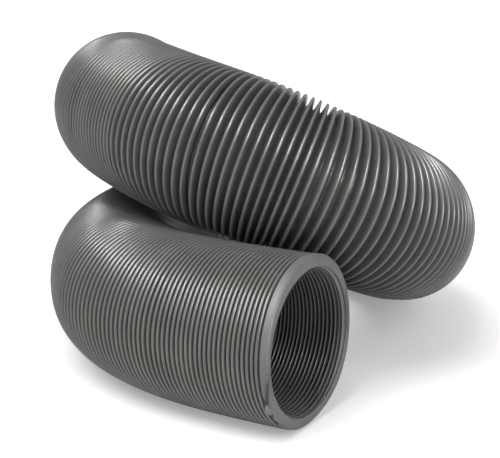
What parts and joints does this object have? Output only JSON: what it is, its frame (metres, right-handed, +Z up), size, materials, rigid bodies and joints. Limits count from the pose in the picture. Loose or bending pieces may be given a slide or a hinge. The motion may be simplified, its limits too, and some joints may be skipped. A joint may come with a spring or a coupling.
{
  "type": "flexible air duct",
  "caption": "Grey compressible air duct of ribbed plastic film over a wire helix, open at both ends, lying in a loose coil.",
  "frame": {"origin": "centre of the near mouth, in the plane of its rim", "axes": "+X along the mouth's axis and out of the mouth, +Z up; the duct lies on the plane z = -54 mm"},
  "size_m": [0.3555, 0.4207, 0.2256],
  "materials": {
    "film": "satin grey vinyl film with soft highlights",
    "wire": "drawn spring steel wire"
  },
  "bodies": {
    "mouth_end": {"film_mouth": "film", "wire_mouth": "wire", "mouth_cuff": "film"},
    "front_run": {"film_mouth_stretch": "film", "wire_mouth_stretch": "wire", "film_front": "film", "wire_front": "wire"},
    "coil_left": {"film_front_bend": "film", "wire_front_bend": "wire", "film_left": "film", "wire_left": "wire", "film_back_bend": "film", "wire_back_bend": "wire"},
    "coil_right": {"film_back": "film", "wire_back": "wire", "film_right_low": "film", "wire_right_low": "wire", "film_right_high": "film", "wire_right_high": "wire", "film_lift_bend": "film", "wire_lift_bend": "wire"},
    "upper_run": {"film_upper": "film", "wire_upper": "wire", "film_tail_bend": "film", "wire_tail_bend": "wire"},
    "tail": {"film_tail": "film", "wire_tail": "wire", "film_tail_stretch": "film", "wire_tail_stretch": "wire"},
    "far_end": {"film_far": "film", "wire_far": "wire", "far_cuff": "film"}
  },
  "joints": [
    {"name": "mouth_stretch", "type": "slide", "parent": "front_run", "child": "mouth_end", "axis": [1, 0, 0], "range_m": [0, 0.06], "deforming": ["film_mouth_stretch", "wire_mouth_stretch"]},
    {"name": "front_swing", "type": "hinge", "parent": "coil_left", "child": "front_run", "pos_m": [-0.1715, 0.0515, 0], "axis": [0, 0, 1], "range_deg": [-25, 0], "deforming": ["film_front_bend", "wire_front_bend"]},
    {"name": "coil_open", "type": "hinge", "parent": "coil_left", "child": "coil_right", "pos_m": [-0.233, 0.2315, 0], "axis": [0, 0, 1], "range_deg": [0, 12], "deforming": ["film_back_bend", "wire_back_bend"]},
    {"name": "upper_lift", "type": "hinge", "parent": "coil_right", "child": "upper_run", "pos_m": [-0.0455, 0.071, 0.083], "axis": [-0.4392, 0.8984, 0], "range_deg": [0, 20], "deforming": ["film_lift_bend", "wire_lift_bend"]},
    {"name": "tail_swing", "type": "hinge", "parent": "upper_run", "child": "tail", "pos_m": [-0.1795, 0.0845, 0.1155], "axis": [0, 0, 1], "range_deg": [0, 30], "deforming": ["film_tail_bend", "wire_tail_bend"]},
    {"name": "tail_stretch", "type": "slide", "parent": "tail", "child": "far_end", "axis": [-0.4864, 0.8704, -0.0768], "range_m": [0, 0.05], "deforming": ["film_tail_stretch", "wire_tail_stretch"]}
  ]
}
